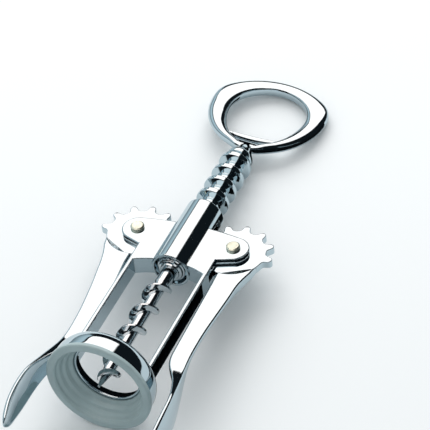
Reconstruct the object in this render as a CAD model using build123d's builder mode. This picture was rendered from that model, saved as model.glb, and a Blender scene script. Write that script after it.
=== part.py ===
from build123d import *
import os
from math import cos, hypot, pi, radians, sin

os.makedirs("parts", exist_ok=True)

# Lever corkscrew, millimetres. X runs across the two levers, Y along the axis
# from the bell mouth (y = 0) up to the opener head, Z towards the front face.

# ---- fits ----
slide_gap = 0.05
spin_gap = 0.05
pin_gap = 0.05
lever_side_gap = 0.10
mesh_tip_gap = 0.30

# ---- gear and rack ----
rack_pitch = 7.0
gear_divisions = 12
lever_teeth = 8
pitch_radius = gear_divisions * rack_pitch / (2 * pi)
tooth_step = 360 / gear_divisions
gear_tip_radius = 14.3
gear_root_radius = 11.4
tooth_tip_width = 2.6
tooth_root_width = 3.8
tooth_corner = 1.15
pivot_x = 18.4
pivot_y = 73.9
ring_root_radius = pivot_x - gear_tip_radius - mesh_tip_gap
ring_tip_width = 1.8
ring_root_width = 4.0
first_ring_y = 63.4
ring_count = 9
rest_play = 1.05

# ---- frame casting ----
frame_depth = 7.3
slot_width = 3.2
slot_radius = gear_tip_radius + 0.3
barrel_radius = 7.2
bore_radius = 6.25
barrel_bottom = 60.0
barrel_top = 91.5
barrel_slot_top = 88.2
leg_inner_x = 13.1
leg_thickness = 1.7
leg_bottom = 9.0
leg_round = 0.6
window_corner_y = 58.5
window_crown_y = 60.9
ear_radius = 5.7
ear_root_y = 66.6
plate_crown_y = 81.35
plate_round = 0.5
barrel_round = 0.6
leg_root = 2.0

# ---- bell ----
bell_radius = 18.2
bell_height = 10.8
bell_shoulder_drop = 4.4
bell_throat_radius = 12.1
bell_wall = 1.2
throat_band = 3.0
throat_wall = 0.9
insert_overhang = 0.8
insert_flange = 1.6
insert_lip = 0.4
mouth_wall = 3.05
insert_flange_radius = bell_radius + insert_overhang
mouth_radius = insert_flange_radius - mouth_wall
liner_outer = bell_radius - bell_wall
shoulder_y = bell_height - bell_shoulder_drop
band_bottom = bell_height - throat_band
liner_shoulder_y = shoulder_y - 0.6

# ---- pins ----
pin_radius = 1.9
pin_head_radius = 2.5
pin_head_height = 1.25

# ---- levers ----
lever_thickness = slot_width - 2 * lever_side_gap
arm_front = 2.3
arm_rear = 0.2
left_arm_lean = 0.9
paddle_half_depth = 6.2

# ---- spindle ----
ring_radius = bore_radius - slide_gap
tang_radius = 1.9
sleeve_bore_radius = tang_radius + spin_gap
sleeve_bottom = first_ring_y - ring_root_width / 2
sleeve_top = first_ring_y + rack_pitch * (ring_count - 1) + 3.0
ring_round = 0.5
collar_height = 2.2
shank_radius = 2.75
worm_core_radius = 2.1
worm_radius = 4.4
worm_pitch = 10.6
worm_tip_y = 0.6
worm_top_y = 52.0
worm_point_length = 9.0
worm_turn = 170.0
flight_root = 1.8
flight_edge = 0.8

# ---- opener head ----
neck_bottom = sleeve_top + spin_gap
neck_length = 3.6
neck_radius = 5.0
neck_tab = 4.5
neck_blend = 3.4
tang_depth = 6.5
tang_end_y = neck_bottom + tang_depth
head_depth = 4.4
head_round = 1.4
opening_round = 1.0
head_turn = 3.0
ring_height = 45.95
crown_radius = 31.3
crown_sweep = 37.6
shoulder_radius = 9.6
shoulder_sweep = 46.5
flank_radius = 23.4
flank_sweep = 70.0
head_top_y = neck_bottom + ring_height
crown_band = 4.6
opening_crown_radius = 18.4
opening_crown_sweep = 42.2
opening_shoulder_radius = 11.4
opening_shoulder_sweep = 53.1
opening_flank_radius = 22.65
opening_flank_sweep = 40.9
lip_depth = 1.8
lip_height = 6.1
lip_half_width = 14.9

# ======================================================================
# Frame casting: bell ring, two legs, ears, cross-piece and split barrel
# ======================================================================
with BuildPart() as frame_casting:
    # front and rear ear plates with the cross-piece between them
    with BuildSketch(Plane.XY.offset(-frame_depth / 2)) as plate_outline:
        with BuildLine() as plate_line:
            ear_low = (
                pivot_x + ear_radius * cos(radians(-62)),
                pivot_y + ear_radius * sin(radians(-62)),
            )
            ear_out = (pivot_x + ear_radius, pivot_y)
            ear_high = (
                pivot_x + ear_radius * cos(radians(85)),
                pivot_y + ear_radius * sin(radians(85)),
            )
            leg_outer_x = leg_inner_x + leg_thickness
            arch = ThreePointArc(
                (0, window_crown_y),
                (leg_inner_x * 0.55, window_crown_y - 0.35),
                (leg_inner_x, window_corner_y),
            )
            foot = Line(arch @ 1, (leg_outer_x, window_corner_y))
            side = Line(foot @ 1, (leg_outer_x, ear_root_y))
            under = Line(side @ 1, ear_low)
            ear = ThreePointArc(ear_low, ear_out, ear_high)
            top = ThreePointArc(ear_high, (pivot_x / 2, plate_crown_y - 0.45), (0, plate_crown_y))
            mirror(about=Plane.YZ)
        make_face()
    extrude(amount=frame_depth)
    fillet(frame_casting.faces().sort_by(Axis.Z)[-1].edges(), radius=plate_round)
    fillet(frame_casting.faces().sort_by(Axis.Z)[0].edges(), radius=plate_round)

    # legs, full frame depth with rounded long edges
    with BuildSketch(Plane.XZ.offset(-leg_bottom)) as leg_section:
        with Locations((leg_inner_x + leg_thickness / 2, 0), (-leg_inner_x - leg_thickness / 2, 0)):
            RectangleRounded(leg_thickness, frame_depth, leg_round)
    extrude(amount=-(window_corner_y + leg_root - leg_bottom))

    # bell ring with a rounded shoulder, hollow for the liner
    with BuildSketch(Plane.XY) as bell_section:
        with BuildLine() as bell_line:
            shoulder_run = bell_radius - bell_throat_radius
            Polyline(
                (bell_throat_radius, bell_height),
                (bell_throat_radius, band_bottom),
                (bell_throat_radius + throat_wall, band_bottom),
                (liner_outer, liner_shoulder_y),
                (liner_outer, insert_flange),
                (bell_radius - 0.15, insert_flange),
                (bell_radius, shoulder_y),
            )
            Spline(
                (bell_radius, shoulder_y),
                (bell_radius - 0.18 * shoulder_run, shoulder_y + 0.59 * bell_shoulder_drop),
                (bell_radius - 0.59 * shoulder_run, bell_height - 0.06 * bell_shoulder_drop),
                (bell_throat_radius, bell_height),
            )
        make_face()
    revolve(axis=Axis.Y)

    # split barrel
    with BuildSketch(Plane.XY) as barrel_section:
        with BuildLine() as barrel_line:
            Polyline(
                (0, barrel_bottom),
                (barrel_radius - 0.35, barrel_bottom),
                (barrel_radius, barrel_bottom + 0.35),
                (barrel_radius, barrel_top),
                (0, barrel_top),
                close=True,
            )
        make_face()
        barrel_corner = barrel_section.vertices().sort_by(Axis.Y)[-2:].sort_by(Axis.X)[-1]
        fillet(barrel_corner, radius=barrel_round)
    revolve(axis=Axis.Y)
    with BuildSketch(Plane.XY) as bore_section:
        with Locations((bore_radius / 2, (window_corner_y + barrel_top) / 2)):
            Rectangle(bore_radius, barrel_top - window_corner_y + 4)
    revolve(axis=Axis.Y, mode=Mode.SUBTRACT)

    # slot for both gears, open at the top and at the sides
    with BuildSketch(Plane.XY.offset(-slot_width / 2)) as gear_slot:
        with Locations((pivot_x, pivot_y), (-pivot_x, pivot_y)):
            Circle(slot_radius)
        with Locations((0, (pivot_y + barrel_slot_top) / 2)):
            RectangleRounded(2 * barrel_radius + 1.0, barrel_slot_top - pivot_y, 0.4)
    extrude(amount=slot_width, mode=Mode.SUBTRACT)

    # rivet holes through both plates
    with BuildSketch(Plane.XY.offset(-frame_depth)) as rivet_holes:
        with Locations((pivot_x, pivot_y), (-pivot_x, pivot_y)):
            Circle(pin_radius)
    extrude(amount=2 * frame_depth, mode=Mode.SUBTRACT)
frame_casting.part.label = "frame_casting"
export_step(frame_casting.part, "parts/frame_casting.step")

# ======================================================================
# Bell liner: stepped plastic insert that seats on the bottle neck
# ======================================================================
with BuildPart() as bell_liner:
    with BuildSketch(Plane.XY) as liner_section:
        lip_radius = bell_throat_radius + insert_lip
        step_run = (mouth_radius - lip_radius) / 3
        step_drop = (band_bottom - insert_flange) / 3
        with BuildLine() as liner_line:
            Polyline(
                (mouth_radius + 0.5, 0),
                (insert_flange_radius - 0.5, 0),
                (insert_flange_radius, 0.5),
                (insert_flange_radius, insert_flange),
                (liner_outer, insert_flange),
                (liner_outer, liner_shoulder_y),
                (bell_throat_radius + throat_wall, band_bottom),
                (lip_radius, band_bottom),
                (lip_radius, band_bottom - 0.35 * step_drop),
                (lip_radius + step_run, band_bottom - 0.75 * step_drop),
                (lip_radius + 1.25 * step_run, band_bottom - 1.6 * step_drop),
                (lip_radius + 2 * step_run, band_bottom - 1.9 * step_drop),
                (lip_radius + 2.3 * step_run, band_bottom - 2.6 * step_drop),
                (mouth_radius, insert_flange),
                (mouth_radius, 0.5),
                close=True,
            )
        make_face()
        inner_steps = liner_section.vertices().filter_by(
            lambda v: lip_radius + 0.1 < v.X < mouth_radius - 0.1 and 0.6 < v.Y < band_bottom - 0.1
        )
        fillet(inner_steps, radius=0.25)
    revolve(axis=Axis.Y)
bell_liner.part.label = "bell_liner"
export_step(bell_liner.part, "parts/bell_liner.step")

# ======================================================================
# Rivet pins: shank through ear, lever and ear, upset heads on both faces
# ======================================================================
pin_outline = [
    (0, -frame_depth / 2 - pin_head_height),
    (pin_head_radius - 0.5, -frame_depth / 2 - pin_head_height),
    (pin_head_radius, -frame_depth / 2 - pin_head_height + 0.45),
    (pin_head_radius, -frame_depth / 2),
    (pin_radius, -frame_depth / 2),
    (pin_radius, frame_depth / 2),
    (pin_head_radius, frame_depth / 2),
    (pin_head_radius, frame_depth / 2 + pin_head_height - 0.45),
    (pin_head_radius - 0.5, frame_depth / 2 + pin_head_height),
    (0, frame_depth / 2 + pin_head_height),
]
with BuildPart() as pin_right:
    with BuildSketch(Plane.XZ.offset(-pivot_y)) as pin_right_section:
        with BuildLine():
            Polyline([(pivot_x + r, h) for r, h in pin_outline], close=True)
        make_face()
    revolve(axis=Axis((pivot_x, pivot_y, 0), (0, 0, 1)))
pin_right.part.label = "pin_right"
export_step(pin_right.part, "parts/pin_right.step")

with BuildPart() as pin_left:
    with BuildSketch(Plane.XZ.offset(-pivot_y)) as pin_left_section:
        with BuildLine():
            Polyline([(-pivot_x + r, h) for r, h in pin_outline], close=True)
        make_face()
    revolve(axis=Axis((-pivot_x, pivot_y, 0), (0, 0, 1)))
pin_left.part.label = "pin_left"
export_step(pin_left.part, "parts/pin_left.step")

# ======================================================================
# Levers: toothed disc, flat arm and cupped thumb paddle in one piece
# ======================================================================
# front outline of the arm and paddle, right lever at rest, measured from its pivot
arm_outer = [
    (10.5, -5.2),
    (9.9, -8.9),
    (8.9, -12.1),
    (8.1, -15.9),
    (7.7, -22.9),
    (7.1, -30.9),
    (6.5, -38.9),
    (6.3, -45.9),
    (6.4, -52.4),
    (6.9, -57.4),
    (7.7, -62.4),
    (8.6, -67.4),
    (9.4, -72.4),
    (10.1, -77.9),
    (10.5, -83.9),
    (10.5, -90.4),
    (9.9, -96.4),
]
arm_inner = [
    (8.4, -96.4),
    (8.9, -90.4),
    (8.8, -83.4),
    (8.4, -76.9),
    (7.5, -72.4),
    (6.3, -68.9),
    (4.8, -65.2),
    (2.9, -61.9),
    (1, -58.9),
    (-0.2, -55.2),
    (-0.5, -50.9),
    (-0.7, -41.9),
    (-0.9, -30.9),
    (-1.1, -19.9),
    (-1.4, -9.4),
]
# height of the front face and of the rear face along the lever, as (z, y from the pivot)
depth_front = [
    (arm_front, -21.9),
    (arm_front, -33.9),
    (arm_front, -44.9),
    (arm_front + 0.05, -53.9),
    (2.8, -59.4),
    (3.5, -63.9),
    (4.5, -68.4),
    (5.4, -72.4),
    (6.0, -76.9),
    (paddle_half_depth, -81.9),
    (5.9, -86.9),
    (4.9, -91.9),
    (3.2, -95.9),
    (1.2, -98.1),
]
depth_rear = [
    (-1.2, -98.1),
    (-3.2, -95.9),
    (-4.9, -91.9),
    (-5.9, -86.9),
    (-paddle_half_depth, -81.9),
    (-5.9, -77.4),
    (-5.0, -73.4),
    (-3.8, -69.4),
    (-2.7, -65.4),
    (-1.6, -61.4),
    (-0.6, -57.4),
    (arm_rear - 0.15, -51.9),
    (arm_rear, -44.9),
    (arm_rear, -33.9),
    (arm_rear, -21.9),
]

with BuildPart() as lever_arm:
    # arm and paddle: front outline intersected with the depth outline
    with BuildSketch(Plane.XY.offset(-8)) as arm_front_outline:
        with BuildLine():
            outer_edge = Spline([(pivot_x + x, pivot_y + y) for x, y in arm_outer])
            inner_edge = Spline([(pivot_x + x, pivot_y + y) for x, y in arm_inner])
            ThreePointArc(outer_edge @ 1, (pivot_x + 9.1, pivot_y - 98.2), inner_edge @ 0)
            Polyline(inner_edge @ 1, (pivot_x, pivot_y), outer_edge @ 0)
        make_face()
    extrude(amount=16)
    with BuildSketch(Plane.YZ.offset(10)) as arm_depth_outline:
        with BuildLine():
            front_face = Spline([(pivot_y + y, z) for z, y in depth_front])
            rear_face = Spline([(pivot_y + y, z) for z, y in depth_rear])
            ThreePointArc(front_face @ 1, (pivot_y - 98.8, 0), rear_face @ 0)
            Polyline(front_face @ 0, (pivot_y, arm_front), (pivot_y, arm_rear), rear_face @ 1)
        make_face()
    extrude(amount=24, mode=Mode.INTERSECT)
    # the raised arm stops in an arc around the pivot
    with BuildSketch(Plane.XY.offset(lever_thickness / 2)) as arc_step:
        with Locations((pivot_x, pivot_y)):
            Circle(gear_root_radius)
    extrude(amount=4, mode=Mode.SUBTRACT)

with BuildPart() as toothed_disc:
    with BuildSketch(Plane.XY.offset(-lever_thickness / 2)) as gear_outline:
        with Locations((pivot_x, pivot_y)):
            Circle(gear_root_radius)
        for index in range(lever_teeth):
            tooth_angle = 210 + rest_play - tooth_step * index
            with Locations(Location((pivot_x, pivot_y), tooth_angle)):
                with Locations((gear_root_radius - 1.0, 0)):
                    Trapezoid(
                        tooth_root_width,
                        gear_tip_radius - gear_root_radius + 1.0,
                        78.5,
                        rotation=-90,
                        align=(Align.CENTER, Align.MIN),
                    )
        tooth_tips = gear_outline.vertices().filter_by(
            lambda v: hypot(v.X - pivot_x, v.Y - pivot_y) > (gear_root_radius + gear_tip_radius) / 2
        )
        fillet(tooth_tips, radius=tooth_corner)
    extrude(amount=lever_thickness)

with BuildPart() as lever_right:
    add(toothed_disc.part)
    add(lever_arm.part)
    # hole for the rivet pin
    with BuildSketch(Plane.XY.offset(-8)) as right_hole:
        with Locations((pivot_x, pivot_y)):
            Circle(pin_radius + pin_gap)
    extrude(amount=16, mode=Mode.SUBTRACT)
lever_right.part.label = "lever_right"
export_step(lever_right.part, "parts/lever_right.step")

# the left lever is the same disc and arm turned over about the axis; its arm
# leans a little further in, close to the leg
to_pivot = Location((-pivot_x, -pivot_y, 0))
disc_turned_over = toothed_disc.part.moved(to_pivot).rotate(Axis.Y, 180)
arm_turned_over = lever_arm.part.moved(to_pivot).rotate(Axis.Y, 180)
with BuildPart() as lever_left:
    with Locations(Location((-pivot_x, pivot_y, 0), (0, 0, 2 * rest_play))):
        add(disc_turned_over)
    with Locations(Location((-pivot_x, pivot_y, 0), (0, 0, 2 * rest_play + left_arm_lean))):
        add(arm_turned_over)
    with BuildSketch(Plane.XY.offset(-8)) as left_hole:
        with Locations((-pivot_x, pivot_y)):
            Circle(pin_radius + pin_gap)
    extrude(amount=16, mode=Mode.SUBTRACT)
lever_left.part.label = "lever_left"
export_step(lever_left.part, "parts/lever_left.step")

# ======================================================================
# Rack sleeve: ring teeth turned on a sleeve that slides in the barrel
# ======================================================================
with BuildPart() as rack_sleeve:
    with BuildSketch(Plane.XY) as sleeve_section:
        with BuildLine():
            sleeve_points = [(sleeve_bore_radius, sleeve_bottom)]
            for index in range(ring_count):
                ring_y = first_ring_y + rack_pitch * index
                sleeve_points += [
                    (ring_root_radius, ring_y - ring_root_width / 2),
                    (ring_radius, ring_y - ring_tip_width / 2),
                    (ring_radius, ring_y + ring_tip_width / 2),
                    (ring_root_radius, ring_y + ring_root_width / 2),
                ]
            sleeve_points += [(ring_root_radius, sleeve_top), (sleeve_bore_radius, sleeve_top)]
            Polyline(sleeve_points, close=True)
        make_face()
        ring_corners = sleeve_section.vertices().filter_by(lambda v: v.X > ring_radius - 0.01)
        fillet(ring_corners, radius=ring_round)
    revolve(axis=Axis.Y)
rack_sleeve.part.label = "rack_sleeve"
export_step(rack_sleeve.part, "parts/rack_sleeve.step")

# ======================================================================
# Worm: tang, shank and helical flight ending in a point
# ======================================================================
collar_bottom = sleeve_bottom - spin_gap - collar_height
flight_start_y = worm_tip_y - 0.4
flight_start = Vector(0, flight_start_y, worm_core_radius - 0.3)
flight_rise = worm_top_y - worm_tip_y
flight_tangent = Vector(2 * pi * (worm_core_radius - 0.3), worm_pitch, 0).normalized()
with BuildPart() as worm_blank:
    # helical flight wound along the core
    with BuildLine() as flight_path:
        Helix(
            pitch=worm_pitch,
            height=flight_rise,
            radius=worm_core_radius - 0.3,
            center=(0, flight_start_y, 0),
            direction=(0, 1, 0),
        )
    with BuildSketch(Plane(flight_start, x_dir=(0, 0, 1), z_dir=flight_tangent)) as flight_section:
        with BuildLine():
            flight_reach = worm_radius - worm_core_radius + 0.3
            Polyline(
                (0, -flight_root / 2),
                (flight_reach, -flight_edge / 2),
                (flight_reach, flight_edge / 2),
                (0, flight_root / 2),
                close=True,
            )
        make_face()
    sweep(path=flight_path.wires()[0], is_frenet=True)
    # the flight narrows to a cone at the point
    with BuildSketch(Plane.XY) as point_trim:
        with BuildLine():
            Polyline(
                (0.45, flight_start_y - 3.0),
                (0.45, worm_tip_y),
                (worm_radius + 0.1, worm_tip_y + worm_point_length),
                (worm_radius + 3.0, worm_tip_y + worm_point_length),
                (worm_radius + 3.0, flight_start_y - 3.0),
                close=True,
            )
        make_face()
    revolve(axis=Axis.Y, mode=Mode.SUBTRACT)
    with BuildSketch(Plane.XY) as below_trim:
        with Locations((worm_radius, worm_tip_y)):
            Rectangle(2 * worm_radius, 3.0, align=(Align.CENTER, Align.MAX))
    revolve(axis=Axis.Y, mode=Mode.SUBTRACT)
    # core, shank and tang
    with BuildSketch(Plane.XY) as worm_core_section:
        with BuildLine():
            Polyline(
                (0, worm_tip_y),
                (0.4, worm_tip_y + 0.3),
                (worm_core_radius, worm_tip_y + worm_point_length),
                (worm_core_radius, worm_top_y - 1.0),
                (shank_radius, worm_top_y + 0.5),
                (shank_radius, collar_bottom),
                (tang_radius, collar_bottom),
                (tang_radius, tang_end_y),
                (0, tang_end_y),
                close=True,
            )
        make_face()
    revolve(axis=Axis.Y)
with BuildPart() as worm:
    with Locations(Location((0, 0, 0), (0, worm_turn, 0))):
        add(worm_blank.part)
worm.part.label = "worm"
export_step(worm.part, "parts/worm.step")

# ======================================================================
# Retaining collar: stepped ring pressed on the tang under the sleeve
# ======================================================================
with BuildPart() as retaining_collar:
    with BuildSketch(Plane.XY) as collar_section:
        with BuildLine():
            Polyline(
                (tang_radius, collar_bottom),
                (3.4, collar_bottom),
                (3.6, collar_bottom + 0.5),
                (4.4, collar_bottom + 0.8),
                (4.6, collar_bottom + 1.4),
                (5.2, collar_bottom + 1.6),
                (5.2, collar_bottom + collar_height),
                (tang_radius, collar_bottom + collar_height),
                close=True,
            )
        make_face()
    revolve(axis=Axis.Y)
retaining_collar.part.label = "retaining_collar"
export_step(retaining_collar.part, "parts/retaining_collar.step")

# ======================================================================
# Opener head: ring handle with the cap-lifter lip across its lower edge
# ======================================================================
head_plane = Plane.XY.rotated((0, head_turn, 0))
neck_top = neck_bottom + neck_length
with BuildPart() as opener_head:
    # ring of rounded section, its outline a chain of tangent arcs
    with BuildSketch(head_plane.offset(-head_depth / 2)) as head_outline:
        with BuildLine():
            crown = JernArc((0, head_top_y), (1, 0), crown_radius, -crown_sweep)
            shoulder = JernArc(crown @ 1, crown % 1, shoulder_radius, -shoulder_sweep)
            flank = JernArc(shoulder @ 1, shoulder % 1, flank_radius, -flank_sweep)
            reach = (neck_tab - (flank @ 1).X) / (flank % 1).X
            ramp = Line(flank @ 1, flank @ 1 + (flank % 1) * reach)
            tab = Line(ramp @ 1, (neck_tab, neck_top))
            Line(tab @ 1, (0, neck_top))
            fillet_corner = ramp @ 1
            mirror(about=Plane.YZ)
        make_face()
        neck_corners = head_outline.vertices().filter_by(
            lambda v: abs(v.Y - fillet_corner.Y) < 0.01 and abs(abs(v.X) - neck_tab) < 0.2
        )
        fillet(neck_corners, radius=neck_blend)
        with BuildLine():
            opening_top_y = head_top_y - crown_band
            crown_in = JernArc((0, opening_top_y), (1, 0), opening_crown_radius, -opening_crown_sweep)
            shoulder_in = JernArc(
                crown_in @ 1, crown_in % 1, opening_shoulder_radius, -opening_shoulder_sweep
            )
            flank_in = JernArc(
                shoulder_in @ 1, shoulder_in % 1, opening_flank_radius, -opening_flank_sweep
            )
            sole_sweep = 180 - opening_crown_sweep - opening_shoulder_sweep - opening_flank_sweep
            sole_radius = (flank_in @ 1).X / sin(radians(sole_sweep))
            sole = JernArc(flank_in @ 1, flank_in % 1, sole_radius, -sole_sweep)
            opening_bottom_y = (sole @ 1).Y
            mirror(about=Plane.YZ)
        make_face(mode=Mode.SUBTRACT)
    extrude(amount=head_depth)
    # both rims of the outline first, then both rims of the opening
    outer_rims = []
    for face in opener_head.faces().filter_by(lambda f: len(f.inner_wires()) > 0):
        outer_rims += face.outer_wire().edges().filter_by(lambda e: e.center().Y > neck_top + 0.1)
    fillet(outer_rims, radius=head_round)
    opening_rims = []
    for face in opener_head.faces().filter_by(lambda f: len(f.inner_wires()) > 0):
        opening_rims += face.inner_wires()[0].edges()
    fillet(opening_rims, radius=opening_round)
    # thin lip across the lower part of the opening
    lip_top_y = opening_bottom_y + lip_height
    with BuildSketch(head_plane.offset(-lip_depth / 2)) as lip_outline:
        with BuildLine():
            Polyline(
                (-lip_half_width, lip_top_y),
                (lip_half_width, lip_top_y),
                (0.75 * lip_half_width, opening_bottom_y + 1.6),
                (0.3 * lip_half_width, opening_bottom_y - 1.6),
                (-0.3 * lip_half_width, opening_bottom_y - 1.6),
                (-0.75 * lip_half_width, opening_bottom_y + 1.6),
                close=True,
            )
        make_face()
    extrude(amount=lip_depth)
    # round neck that carries the worm tang, domed under the ring
    with BuildSketch(Plane.XY) as neck_section:
        with BuildLine():
            dome_top_y = neck_top + 0.9 * neck_radius
            base = Polyline(
                (0, neck_bottom),
                (neck_radius - 0.4, neck_bottom),
                (neck_radius, neck_bottom + 0.4),
                (neck_radius, neck_top),
            )
            dome = TangentArc(base @ 1, (0, dome_top_y), tangent=(0, 1))
            Line(dome @ 1, (0, neck_bottom))
        make_face()
    revolve(axis=Axis.Y)
    with BuildSketch(Plane.XY) as tang_hole_section:
        with Locations((tang_radius / 2, (neck_bottom + tang_end_y) / 2)):
            Rectangle(tang_radius, tang_depth)
    revolve(axis=Axis.Y, mode=Mode.SUBTRACT)
opener_head.part.label = "opener_head"
export_step(opener_head.part, "parts/opener_head.step")
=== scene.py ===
import math

import bmesh
import bpy
from bpy.props import FloatProperty, FloatVectorProperty, IntProperty, PointerProperty
from mathutils import Matrix, Vector


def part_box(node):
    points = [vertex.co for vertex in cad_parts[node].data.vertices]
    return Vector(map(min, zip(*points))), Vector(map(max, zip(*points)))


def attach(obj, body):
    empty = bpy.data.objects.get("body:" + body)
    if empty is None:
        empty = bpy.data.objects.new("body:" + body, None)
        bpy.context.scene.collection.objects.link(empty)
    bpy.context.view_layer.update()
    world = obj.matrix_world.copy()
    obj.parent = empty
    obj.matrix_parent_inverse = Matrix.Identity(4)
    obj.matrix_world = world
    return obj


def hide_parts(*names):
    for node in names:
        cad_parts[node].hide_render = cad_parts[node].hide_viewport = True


bl_info = {
    "name": "Lever corkscrew",
    "version": (1, 0, 0),
    "blender": (4, 5, 0),
    "location": "View3D > Sidebar > Corkscrew",
    "description": "Dresses a chromed lever corkscrew around its packed frame",
    "category": "Object",
}

MM = 0.001

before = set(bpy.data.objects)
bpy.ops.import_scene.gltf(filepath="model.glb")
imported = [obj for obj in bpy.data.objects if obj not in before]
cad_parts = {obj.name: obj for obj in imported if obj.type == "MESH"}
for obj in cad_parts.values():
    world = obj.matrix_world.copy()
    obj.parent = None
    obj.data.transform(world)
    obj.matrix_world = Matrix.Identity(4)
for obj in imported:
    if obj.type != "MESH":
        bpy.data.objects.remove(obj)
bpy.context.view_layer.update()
pin_low, pin_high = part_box("pin_right")
PIVOT_X = (pin_low.x + pin_high.x) / 2
PIVOT_Y = (pin_low.y + pin_high.y) / 2


# ----------------------------------------------------------------------
# Settings
# ----------------------------------------------------------------------
def length(name, description, default):
    return FloatProperty(name=name, description=description, default=default, unit="LENGTH", precision=5)


def factor(name, description, default):
    return FloatProperty(
        name=name, description=description, default=default, min=0.0, max=1.0, subtype="FACTOR"
    )


def colour(name, description, default):
    return FloatVectorProperty(
        name=name, description=description, default=default, size=3, min=0.0, max=1.0, subtype="COLOR"
    )


class ChromeFinish(bpy.types.PropertyGroup):
    tint: colour("Tint", "Colour of the chromium plate", (0.46, 0.56, 0.605))
    worn_tint: colour("Worn tint", "Colour of the plate where edges are rubbed", (0.40, 0.43, 0.44))
    roughness: factor("Roughness", "Blur of the buffed faces", 0.035)
    edge_round: length("Edge rounding", "Radius that buffing leaves on the edges", 0.45 * MM)
    ripple: length("Ripple", "Depth of the soft waves of a buffed casting", 0.035 * MM)


class SteelFinish(bpy.types.PropertyGroup):
    tint: colour("Tint", "Colour of the plated steel of the worm", (0.50, 0.56, 0.59))
    worn_tint: colour("Worn tint", "Colour of the steel where edges are rubbed", (0.36, 0.38, 0.38))
    roughness: factor("Roughness", "Blur of the rolled steel", 0.06)
    edge_round: length("Edge rounding", "Radius of the flight edges", 0.3 * MM)
    ripple: length("Ripple", "Depth of the waves left by winding the worm", 0.02 * MM)


class LinerFinish(bpy.types.PropertyGroup):
    tint: colour("Tint", "Colour of the moulded liner", (0.40, 0.50, 0.51))
    roughness: factor("Roughness", "Blur of the satin plastic", 0.34)
    edge_round: length("Edge rounding", "Radius of the moulded edges", 0.5 * MM)


class PinFinish(bpy.types.PropertyGroup):
    tint: colour("Tint", "Colour of the rivet pins", (0.57, 0.63, 0.545))
    worn_tint: colour("Worn tint", "Colour of the pins where edges are rubbed", (0.30, 0.325, 0.27))
    roughness: factor("Roughness", "Blur of the upset pin heads", 0.30)
    edge_round: length("Edge rounding", "Radius of the upset rim", 0.35 * MM)
    ripple: length("Ripple", "Depth of the dents left by riveting", 0.03 * MM)


class LeverShape(bpy.types.PropertyGroup):
    teeth: IntProperty(name="Teeth", description="Teeth on the disc of a lever", default=8, min=1)
    tooth_step: FloatProperty(
        name="Tooth step",
        description="Angle from tooth to tooth",
        default=math.radians(30),
        subtype="ANGLE",
    )
    root_radius: length("Root radius", "Disc radius between the teeth", 11.4 * MM)
    tip_radius: length("Tip radius", "Disc radius over the teeth", 14.3 * MM)
    thickness: length("Disc thickness", "Thickness of the toothed disc", 3.0 * MM)
    edge_round: length("Edge rounding", "Radius along the edges of the arm", 0.85 * MM)
    cup: length("Cup", "Depth of the hollow of the thumb paddle", 1.1 * MM)


class HeadShape(bpy.types.PropertyGroup):
    depth: length("Depth", "Thickness of the opener ring", 4.4 * MM)
    section_power: FloatProperty(
        name="Section", description="2 is an oval section, more is squarer", default=2.1, min=2.0, max=8.0
    )
    turn: FloatProperty(
        name="Turn", description="Turn of the handle at rest", default=math.radians(3.0), subtype="ANGLE"
    )
    lip_height: length("Lip height", "Reach of the claw lip into the opening", 6.1 * MM)


class StudioSettings(bpy.types.PropertyGroup):
    key_power: FloatProperty(name="Key", description="Power of the soft key lamp", default=14.0, unit="POWER")
    ambient: colour("Fill", "Even fill light of the room", (0.58, 0.61, 0.62))
    floor_tint: colour("Floor", "Colour of the table top", (0.97, 0.98, 0.985))
    floor_bounce: colour("Floor bounce", "Colour that the table throws back as light", (0.55, 0.62, 0.65))
    floor_tilt: FloatProperty(
        name="Floor tilt",
        description="Slope of the table under the lying corkscrew",
        default=math.radians(5.6),
        subtype="ANGLE",
    )
    horizon: colour("Horizon", "Pale grey-blue of the far wall", (0.72, 0.86, 0.92))
    lens: FloatProperty(name="Lens", description="Focal length", default=184.19, unit="CAMERA")


class CorkscrewSettings(bpy.types.PropertyGroup):
    chrome: PointerProperty(type=ChromeFinish)
    steel: PointerProperty(type=SteelFinish)
    liner: PointerProperty(type=LinerFinish)
    pin: PointerProperty(type=PinFinish)
    lever: PointerProperty(type=LeverShape)
    head: PointerProperty(type=HeadShape)
    studio: PointerProperty(type=StudioSettings)


# ----------------------------------------------------------------------
# Node helpers
# ----------------------------------------------------------------------
# agreement of the flat and the rounded normal, from a face to a rubbed edge
EDGE_SPAN = (0.995, 0.80)


def wire(tree, source, socket):
    """Link a node output, or set a plain value."""
    if isinstance(source, bpy.types.NodeSocket):
        tree.links.new(source, socket)
    elif isinstance(source, (tuple, list, Vector)) and len(source) == 3 and socket.type == "RGBA":
        socket.default_value = (*source, 1.0)
    else:
        socket.default_value = source


def calculate(tree, operation, a, b=None):
    """Result of a sum on one or two values."""
    node = tree.nodes.new("ShaderNodeMath")
    node.operation = operation
    wire(tree, a, node.inputs[0])
    if b is not None:
        wire(tree, b, node.inputs[1])
    return node.outputs[0]


def ramp(tree, value, start, end, low=0.0, high=1.0, smooth=False):
    """Value that goes from low to high while the given one goes from start to end."""
    node = tree.nodes.new("ShaderNodeMapRange")
    node.interpolation_type = "SMOOTHSTEP" if smooth else "LINEAR"
    wire(tree, value, node.inputs["Value"])
    node.inputs["From Min"].default_value = start
    node.inputs["From Max"].default_value = end
    node.inputs["To Min"].default_value = low
    node.inputs["To Max"].default_value = high
    return node.outputs["Result"]


def blend(tree, amount, a, b):
    """Colour a where the amount is 0, colour b where it is 1."""
    node = tree.nodes.new("ShaderNodeMix")
    node.data_type = "RGBA"
    wire(tree, amount, node.inputs["Factor"])
    wire(tree, a, node.inputs["A"])
    wire(tree, b, node.inputs["B"])
    return node.outputs["Result"]


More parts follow.
